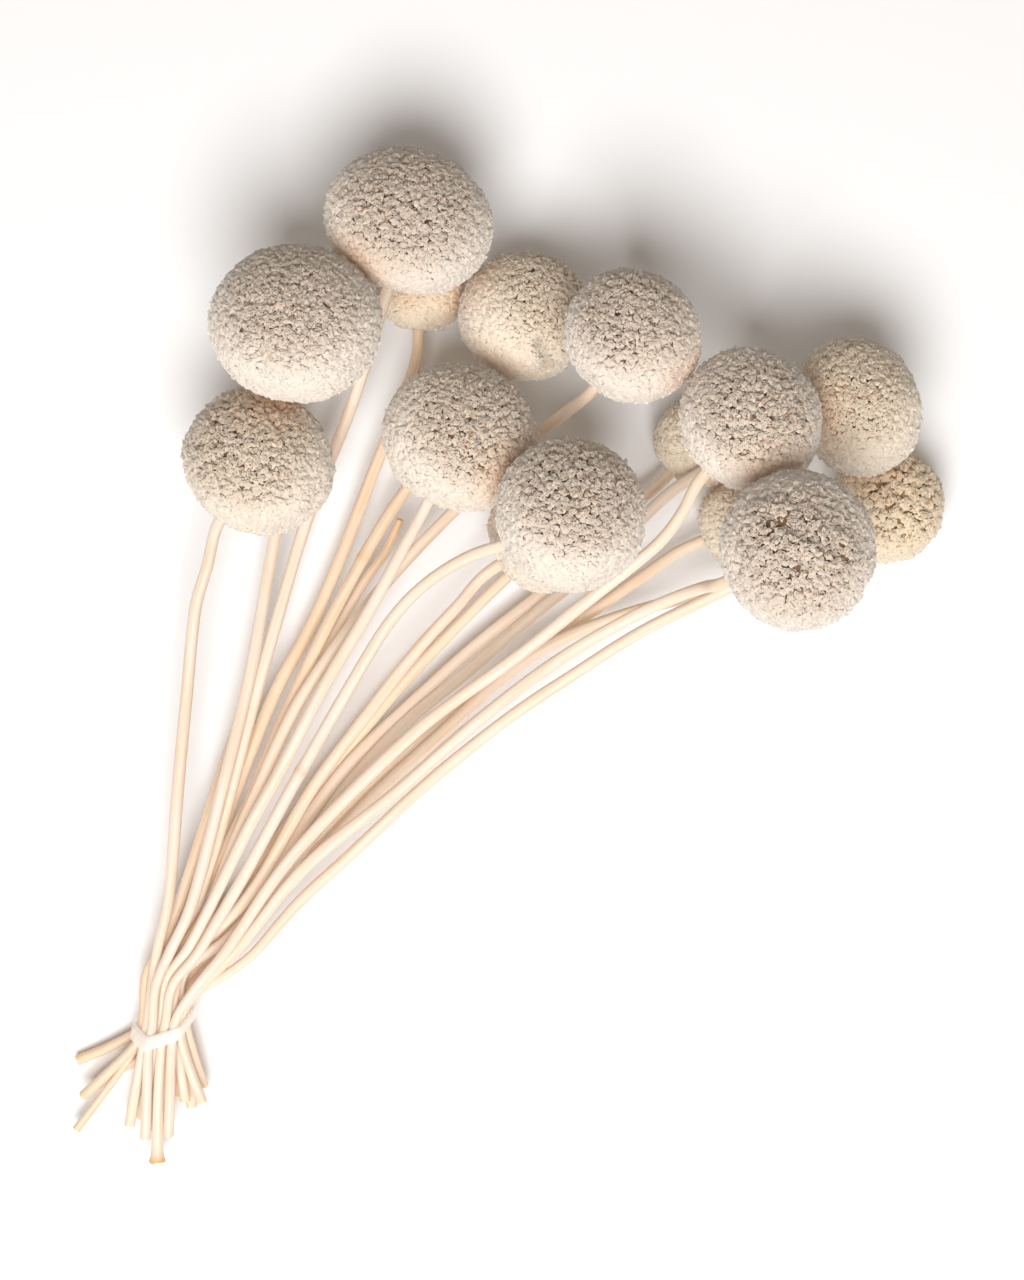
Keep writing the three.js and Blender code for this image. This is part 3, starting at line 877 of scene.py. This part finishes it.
@dataclass
class DriedStem:
    """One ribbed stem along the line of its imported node."""

    number: int
    tone: float
    cut: StemMark = StemMark.CUT
    tip: StemMark = StemMark.IN_HEAD
    knots: tuple[float, ...] = ()  # places of small nodes, as shares of the length
    sides: int = 16
    ribs: int = 5
    rib_depth: float = 0.02  # as a share of the radius
    rib_swing: float = 0.5  # how far the ribs wind to and fro, in radians
    rib_pace: float = 19 * MM  # length over which they do, for each radian
    step: float = 1.0 * MM
    waver: float = 0.10 * MM  # how far the line strays from an even bow
    waver_pace: tuple[float, float] = (2.2, 3.4)  # half its length for a radian, in MM
    calm: float = 12 * MM  # from each end, where it strays less
    fullness: float = 0.03 * MM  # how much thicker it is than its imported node
    swell: float = 0.012  # size of the slow swellings, as a share of the radius
    swell_paces: tuple[float, ...] = (7 * MM, 3.1 * MM)
    tear: float = 0.22 * MM  # unevenness of the torn rims
    lip: float = 0.72  # radius of the pith, as a share
    lip_depth: float = 0.25 * MM  # of the pith's edge under the rim
    pith_depth: float = 0.45 * MM  # and of its middle
    pith_age: tuple[float, float] = (0.25, 0.1)  # how much browner the middle is, and the edge
    pith_run: tuple[float, float] = (1.5 * MM, 0.8 * MM)  # how far the UV map runs on to each
    grain_radius: float = 1.1  # radius that the UV map is laid for, in MM
    grain_shift: float = 17.0  # from one stem's part of the grain to the next's, in MM

    @property
    def node(self) -> str:
        """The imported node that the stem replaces."""
        return f"stem_{self.number:02d}"

    def rings(self) -> tuple[np.ndarray, np.ndarray]:
        """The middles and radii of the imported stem's cross-sections, from the cut end on.

        Returns:
            One middle a row, and one radius each.
        """
        left = np.unique(np.round(corners_of(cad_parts[self.node].data), 6), axis=0)
        middles, radii = [], []
        while len(left):
            near = np.linalg.norm(left - left[0], axis=1) < RING_SPAN
            middle = left[near].mean(axis=0)
            middles.append(middle)
            radii.append(np.linalg.norm(left[near] - middle, axis=1).mean())
            left = left[~near]
        middles, radii = np.array(middles), np.array(radii)
        order = [int(middles[:, 1].argmin())]
        while len(order) < len(middles):
            away = np.linalg.norm(middles - middles[order[-1]], axis=1)
            away[order] = np.inf
            order.append(int(away.argmin()))
        return middles[order], radii[order]

    def line(self) -> tuple[np.ndarray, np.ndarray]:
        """The stem's smooth line.

        Returns:
            Places about a step apart, and the radius at each.
        """
        middles, radii = self.rings()
        before = np.vstack([2 * middles[0] - middles[1], middles[:-1]])
        after = np.vstack([middles[1:], 2 * middles[-1] - middles[-2]])
        slopes = (after - before) / 2
        places, widths = [], []
        for at in range(len(middles) - 1):
            length = np.linalg.norm(middles[at + 1] - middles[at])
            for share in np.linspace(0, 1, max(2, round(length / self.step)), endpoint=False):
                weights = self.hermite(share)
                corners = (middles[at], slopes[at], middles[at + 1], slopes[at + 1])
                places.append(sum(weight * corner for weight, corner in zip(weights, corners)))
                widths.append(radii[at] + (radii[at + 1] - radii[at]) * share)
        return np.array([*places, middles[-1]]), np.array([*widths, radii[-1]])

    @staticmethod
    def hermite(share: float) -> tuple[float, float, float, float]:
        """Weights of the start, its slope, the end and its slope, at a share of a stretch."""
        square, cube = share**2, share**3
        return 2 * cube - 3 * square + 1, cube - 2 * square + share, 3 * square - 2 * cube, cube - square

    def sweep_frames(self, line: np.ndarray) -> tuple[np.ndarray, np.ndarray]:
        """Two axes across the line at each place, carried along it without twisting.

        Args:
            line: Places along the stem.

        Returns:
            The first and second axis at each place.
        """
        along = unit(np.gradient(line, axis=0))
        side = unit(np.cross(along[0], [0.0, 0.0, 1.0]))
        sides = []
        for direction in along:
            side = unit(side - direction * (side @ direction))
            sides.append(side)
        sides = np.array(sides)
        return sides, np.cross(along, sides)

    def profile(self, reached: np.ndarray, radii: np.ndarray, random: np.random.Generator) -> tuple:
        """Radius and age along the stem, with its knots and ends.

        Args:
            reached: Distance of each place from the cut end.
            radii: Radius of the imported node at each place.
            random: Source of the small swellings.

        Returns:
            The radius and the age, from 0 to 1, at each place.
        """
        radii = radii + self.fullness
        for pace in self.swell_paces:
            radii = radii * (1 + self.swell * np.sin(reached / pace + random.uniform(0, 6)))
        marks = [(StemMark.CUT, reached)]
        marks += [(StemMark.KNOT, reached - knot * reached[-1]) for knot in self.knots]
        if self.cut is not StemMark.CUT:
            marks.append((self.cut, reached))
        marks.append((self.tip, reached[-1] - reached))
        age = np.zeros(len(reached))
        for mark, away in marks:
            near = np.exp(-((away / mark.value.reach) ** mark.value.power))
            radii = radii * (1 + mark.value.swell * near)
            age = age + mark.value.age * near
        return radii, np.clip(age, 0, 1)

    def build(self) -> None:
        """Makes the stem: a grid rolled round its line, its ends closed by a sunk, torn pith."""
        random = np.random.default_rng(STEM_SEED + self.number)
        line, radii = self.line()
        reached = np.concatenate([[0], np.cumsum(np.linalg.norm(np.diff(line, axis=0), axis=1))])
        first, second = self.sweep_frames(line)
        free = np.clip(np.minimum(reached, reached[-1] - reached) / self.calm, 0, 1)
        for axis in (first, second):
            phase, pace = random.uniform(0, 2 * math.pi), random.uniform(*self.waver_pace) * MM
            line = line + axis * (self.waver * free * np.sin(reached / pace / 2 + phase))[:, None]
        run = StemRun(line, reached, first, second, *self.profile(reached, radii, random))
        places, ages, distances = self.wall(run, random)
        rows = len(places)
        deselect_all()
        bpy.ops.mesh.primitive_grid_add(x_subdivisions=self.sides, y_subdivisions=rows - 1, size=1)
        piece = bpy.context.object
        piece.name = piece.data.name = f"dried_stem_{self.number:02d}"
        flat = corners_of(piece.data)
        column = np.round((flat[:, 0] + 0.5) * self.sides).astype(int)
        row = np.round((flat[:, 1] + 0.5) * (rows - 1)).astype(int)
        write(piece.data.vertices, "co", places[row, column])
        piece.data.update()
        set_point_value(piece.data, "age", ages[row])
        self.lay_uv(piece.data, column, distances[row])
        bpy.ops.object.mode_set(mode="EDIT")
        bpy.ops.mesh.select_all(action="SELECT")
        bpy.ops.mesh.remove_doubles(threshold=MERGE)
        bpy.ops.mesh.normals_make_consistent(inside=False)
        bpy.ops.object.mode_set(mode="OBJECT")
        bpy.ops.object.shade_smooth_by_angle(angle=math.radians(50))
        finish = StemFinish(self.tone).material(f"stem_{self.number:02d}_skin")
        hand_over(piece, finish, self.node)

    def wall(self, run: StemRun, random: np.random.Generator) -> tuple[np.ndarray, ...]:
        """Places of the rolled grid's vertices, the end rings included.

        Args:
            run: What the stem is like along its line.
            random: Source of the torn rims.

        Returns:
            A place for each row and column, then an age and a distance for each row.
        """
        turn = np.linspace(0, 2 * math.pi, self.sides + 1)
        wound = self.rib_swing * np.sin(run.reached / self.rib_pace)[:, None]
        ribbed = 1 + self.rib_depth * np.cos(self.ribs * turn[None] + random.uniform(0, 6) + wound)
        across = np.cos(turn)[None, :, None] * run.first[:, None]
        across = across + np.sin(turn)[None, :, None] * run.second[:, None]
        wall = run.line[:, None] + across * (run.radii[:, None] * ribbed)[:, :, None]
        along = unit(np.gradient(run.line, axis=0))
        rows, ages, distances = [], [], []
        for end, inward in ((0, 1), (-1, -1)):
            torn = random.uniform(-self.tear, self.tear, self.sides + 1)
            torn[-1] = torn[0]
            wall[end] += along[end] * torn[:, None]
            lip = run.line[end] + across[end] * (self.lip * run.radii[end])
            lip = lip + along[end] * (self.lip_depth * inward + 0.5 * torn[:, None])
            heart = run.line[end] + along[end] * (self.pith_depth * inward)
            rows.append([np.broadcast_to(heart, lip.shape), lip])
            ages.append([min(1.0, run.age[end] + older) for older in self.pith_age])
            distances.append([run.reached[end] - farther * inward for farther in self.pith_run])
        return tuple(
            np.concatenate([ends[0], middle, ends[1][::-1]])
            for ends, middle in ((rows, wall), (ages, run.age), (distances, run.reached))
        )

    def lay_uv(self, mesh: bpy.types.Mesh, column: np.ndarray, distance: np.ndarray) -> None:
        """Lays the UV map: millimetres round the stem and along it."""
        corner = read(mesh.loops, "vertex_index", 1, np.int32).ravel()
        around = column[corner] / self.sides * 2 * math.pi * self.grain_radius
        around += self.grain_shift * self.number
        mesh.uv_layers[0].name = "UVMap"
        write(mesh.uv_layers[0].data, "uv", np.stack([around, distance[corner] / MM], axis=1))


# --- band


@dataclass
class TieBand:
    """The narrow band round the bundle, with its edges rounded."""

    node: str = "tie_band"
    edge: float = 0.14 * MM

    def build(self) -> None:
        """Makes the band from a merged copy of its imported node."""
        deselect_all()
        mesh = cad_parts[self.node].data.copy()
        piece = bpy.data.objects.new("clear_band", mesh)
        bpy.context.scene.collection.objects.link(piece)
        piece.select_set(True)
        bpy.context.view_layer.objects.active = piece
        bpy.ops.object.mode_set(mode="EDIT")
        bpy.ops.mesh.select_all(action="SELECT")
        bpy.ops.mesh.remove_doubles(threshold=MERGE)
        bpy.ops.mesh.dissolve_limited(angle_limit=math.radians(1))
        bpy.ops.object.mode_set(mode="OBJECT")
        bevel = piece.modifiers.new("edges", "BEVEL")
        bevel.width = self.edge
        bevel.segments = 3
        bevel.limit_method = "ANGLE"
        bevel.angle_limit = math.radians(50)
        bpy.ops.object.modifier_apply(modifier=bevel.name)
        bpy.ops.object.shade_smooth_by_angle(angle=math.radians(40))
        hand_over(piece, BandFinish().material("clear_band_skin"), self.node)


# --- studio


@dataclass(frozen=True)
class SoftLight:
    """A round soft light turned towards the bunch."""

    side: tuple[float, float, float]  # the way to the light
    distance: float
    size: float
    power: float

    def build(self) -> None:
        """Makes the light."""
        deselect_all()
        aim = Vector(self.side).normalized()
        bpy.ops.object.light_add(type="AREA", location=aim * self.distance)
        light = bpy.context.object
        light.rotation_euler = aim.to_track_quat("Z", "Y").to_euler()
        light.data.shape = "DISK"
        light.data.size = self.size
        light.data.energy = self.power


@dataclass
class Studio:
    """A camera straight above, a pale table, and soft light from the cut ends' side."""

    camera_height: float = 650 * MM
    view_length: float = 239.62 * MM  # length of table that the long side of the picture shows
    view_middle: tuple[float, float] = (1.109 * MM, 4.099 * MM)
    sensor: float = 36.0
    table_size: float = 4.0
    table_drop: float = 0.1 * MM
    light: SoftLight = SoftLight(side=(-0.04, -0.38, 0.93), distance=0.95, size=0.55, power=9.8)
    sky: float = 0.28
    sky_colour: Colour = (1.0, 0.90, 0.80, 1.0)

    def build(self) -> None:
        """Makes the camera, the table and the light."""
        deselect_all()
        bpy.ops.object.camera_add(location=(*self.view_middle, self.camera_height), rotation=(0, 0, 0))
        camera = bpy.context.object
        camera.data.sensor_width = self.sensor
        camera.data.lens = self.sensor * self.camera_height / self.view_length
        camera.data.dof.use_dof = False
        bpy.context.scene.camera = camera
        deselect_all()
        bpy.ops.mesh.primitive_plane_add(size=self.table_size, location=(0, 0, -self.table_drop))
        table = bpy.context.object
        table.name = "table"
        table.data.materials.append(TableFinish().material("table_top"))
        self.light.build()
        world = bpy.data.worlds.new("studio_air")
        world.use_nodes = True
        air = world.node_tree.nodes["Background"].inputs
        air["Color"].default_value = self.sky_colour
        air["Strength"].default_value = self.sky
        bpy.context.scene.world = world
        bpy.context.scene.view_settings.view_transform = "Standard"


# --- bunch

# Scars: where each starts and ends, its width, depth and ridge.
SPLIT = Scar((-0.40, 0.37, 0.84), (0.51, -0.12, 0.85), 1.2 * MM, 1.0 * MM, 0.6 * MM)
PIT = Scar((-0.07, -0.27, 0.96), (-0.05, -0.25, 0.97), 0.9 * MM, 2.6 * MM)
CLEFT = Scar((0.22, -0.50, 0.84), (0.42, -0.82, 0.38), 1.5 * MM, 1.6 * MM, 0.3 * MM)

# Heads: number, radius, heading, lean, flat and face.
HEADS = (
    FlowerHead(1, 15.4 * MM, 71, 27, 0.84, (0.07, 0.30)),
    FlowerHead(2, 15.3 * MM, 80, 52, 0.82, (0.01, 0.39)),
    FlowerHead(3, 13.9 * MM, 54, 30, 0.92, (-0.10, 0.32), warmth=0.3),
    FlowerHead(4, 8.5 * MM, 86, 5, 0.96, (0.0, 0.90), Bloom.CLOSE, warmth=0.8),
    FlowerHead(5, 12.2 * MM, 60, 12, 1.0, (0.55, 0.41), Bloom.CLOSE, warmth=0.4, scars=(CLEFT,)),
    FlowerHead(6, 12.5 * MM, 52, 35, 0.93, (0.0, 0.38)),
    FlowerHead(7, 14.2 * MM, 62, 35, 0.92, (0.31, 0.28), warmth=0.2),
    FlowerHead(8, 13.8 * MM, 23, 45, 0.93, (0.16, 0.39)),
    FlowerHead(9, 10.8 * MM, 33, 17, 0.95, (0.50, 0.50), Bloom.CLOSE, warmth=0.4),
    FlowerHead(10, 13.1 * MM, 50, 30, 0.93, (0.10, 0.16)),
    FlowerHead(11, 8.4 * MM, 47, 8, 0.97, (0.50, 0.60), Bloom.CLOSE, warmth=0.8),
    FlowerHead(12, 12.8 * MM, 22, 12, 0.91, (-0.13, 0.33), Bloom.CLOSE, warmth=0.5),
    FlowerHead(13, 11.1 * MM, 20, 5, 0.96, (0.23, 0.10), Bloom.KNOBBY, warmth=0.9),
    FlowerHead(14, 14.0 * MM, 24, 35, 0.96, (-0.03, -0.03), scars=(SPLIT, PIT)),
    FlowerHead(15, 8.4 * MM, 23, 5, 0.97, (0.60, 0.30), Bloom.CLOSE, warmth=0.6),
)

# The stems' tones in order, and what sets some of them apart.
TONES = (
    *(0.2, 0.05, 0.25, 0.75, 0.8, 0.45, 0.1, 0.1, 0.4, 0.15),
    *(0.3, 0.15, 0.45, 0.25, 0.5, 0.6, 0.6, 0.3, 0.7),
)
SPECIAL = {
    5: {"knots": (0.72,)},
    8: {"knots": (0.55,), "cut": StemMark.FRAYED},
    16: {"tip": StemMark.SNAPPED, "fullness": -0.25 * MM},
}
STEMS = tuple(DriedStem(number, tone, **SPECIAL.get(number, {})) for number, tone in enumerate(TONES, 1))


def main() -> None:
    """Builds the studio, the heads, the stems and the band."""
    logging.basicConfig(level=logging.INFO, format="%(message)s")
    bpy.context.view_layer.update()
    Studio().build()
    shapes = [model.build() for model in FLORET_MODELS]
    for stem in STEMS:
        stem.build()
    for head in HEADS:
        head.seat(STEMS[head.number - 1].rings()[0][-1])
    for head in HEADS:
        head.build(shapes, [other for other in HEADS if other is not head])
    TieBand().build()
    deselect_all()


if __name__ == "__main__":
    main()
